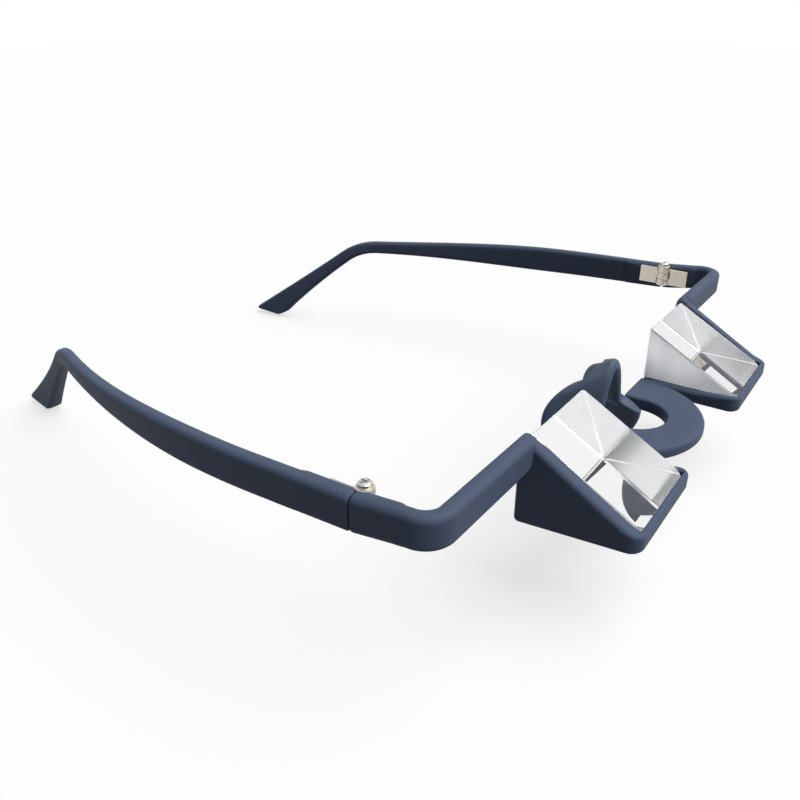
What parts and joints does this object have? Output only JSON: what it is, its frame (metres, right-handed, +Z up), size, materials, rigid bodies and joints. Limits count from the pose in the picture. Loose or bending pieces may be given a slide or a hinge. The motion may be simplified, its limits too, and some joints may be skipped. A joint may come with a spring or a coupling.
{
  "type": "belay glasses",
  "caption": "Spectacle-like glasses whose clear wedge prisms turn the view upwards, with a nose saddle and folding temples.",
  "frame": {"origin": "middle of the flat underside of the bridge plate, in front of the nose gap", "axes": "+X to the wearer's left, +Y back towards the ears, +Z up"},
  "size_m": [0.1426, 0.1664, 0.0343],
  "materials": {
    "moulding": "soft-touch matte",
    "saddle": "soft matte",
    "glass": "polished, ground on the sides",
    "mirror": "bright",
    "adhesive": "cured adhesive",
    "hinge_metal": "satin nickel silver",
    "screw_metal": "bright steel"
  },
  "bodies": {
    "front": {"front_frame": "moulding", "nose_saddle": "saddle", "prism_right": "glass", "prism_left": "glass", "mirror_layer_right": "mirror", "mirror_layer_left": "mirror", "adhesive_bed_right": "adhesive", "adhesive_bed_left": "adhesive", "front_leaf_right": "hinge_metal", "front_leaf_left": "hinge_metal", "hinge_screw_right": "screw_metal", "hinge_screw_left": "screw_metal"},
    "right_temple": {"temple_right": "moulding", "temple_leaf_right": "hinge_metal"},
    "left_temple": {"temple_left": "moulding", "temple_leaf_left": "hinge_metal"}
  },
  "joints": [
    {"name": "right_temple_hinge", "type": "hinge", "parent": "front", "child": "right_temple", "pos_m": [-0.0675, 0.0274, 0.0116], "axis": [0, 0, -1], "range_deg": [0, 84]},
    {"name": "left_temple_hinge", "type": "hinge", "parent": "front", "child": "left_temple", "pos_m": [0.0675, 0.0274, 0.0116], "axis": [0, 0, 1], "range_deg": [0, 74]}
  ]
}
